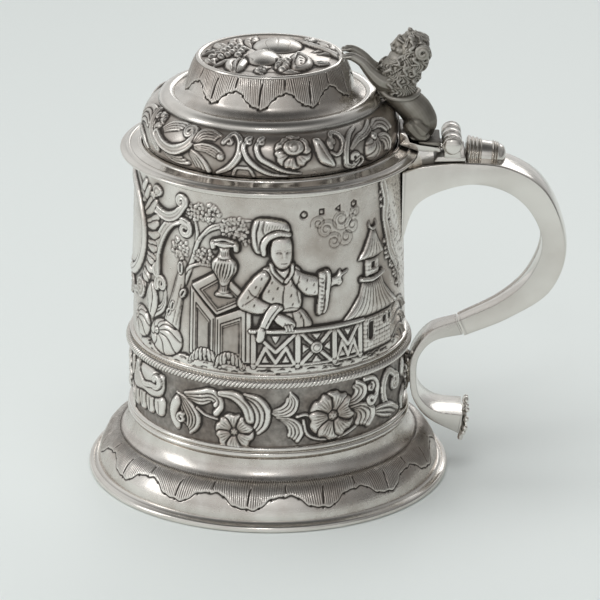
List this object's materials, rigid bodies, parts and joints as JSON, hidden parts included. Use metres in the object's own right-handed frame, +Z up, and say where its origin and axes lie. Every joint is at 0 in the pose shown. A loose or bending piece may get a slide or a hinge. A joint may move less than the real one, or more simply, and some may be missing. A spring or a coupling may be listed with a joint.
{
  "type": "lidded tankard",
  "caption": "Lidded drum-shaped drinking tankard on a spread foot, with a scroll handle and a hinged stepped lid opened by a lion thumbpiece.",
  "frame": {"origin": "on the surface that the foot stands on, under the middle of the whole outline seen from above", "axes": "+Z up along the drum's axis, +X from the drum towards the handle, +Y along the hinge pin"},
  "size_m": [0.1972, 0.15, 0.1876],
  "materials": {
    "silver_polished": "polished silver with fine hairline scratches and light tarnish",
    "silver_chased": "chased and repousse silver, polished on the high parts and oxidised dark in the recesses",
    "silver_cast": "cast and chased silver, darker and less polished"
  },
  "bodies": {
    "vessel": {"drum": "silver_chased", "drum_floor": "silver_polished", "mouth_wire": "silver_polished", "girdle_moulding": "silver_polished", "rope_girdle": "silver_polished", "base_moulding": "silver_polished", "foot": "silver_chased", "foot_rim": "silver_polished", "handle_shell": "silver_polished", "handle_strap": "silver_polished", "handle_drop": "silver_polished", "scroll_strap": "silver_polished", "scroll_seat": "silver_polished", "scroll_shield": "silver_polished", "hinge_lug": "silver_polished", "hinge_pin": "silver_polished", "pin_cap_front": "silver_polished", "pin_cap_back": "silver_polished"},
    "lid": {"lid_dome": "silver_chased", "lid_top_wire": "silver_polished", "lid_medallion": "silver_chased", "lid_shoulder_wire": "silver_polished", "lid_flange": "silver_polished", "lid_bezel": "silver_polished", "lid_hinge_leaf": "silver_polished", "lion": "silver_cast", "lion_plinth": "silver_cast"}
  },
  "joints": [
    {"name": "lid_hinge", "type": "hinge", "parent": "vessel", "child": "lid", "pos_m": [0.0504, 0, 0.143], "axis": [0, 1, 0], "range_deg": [0, 98]}
  ]
}
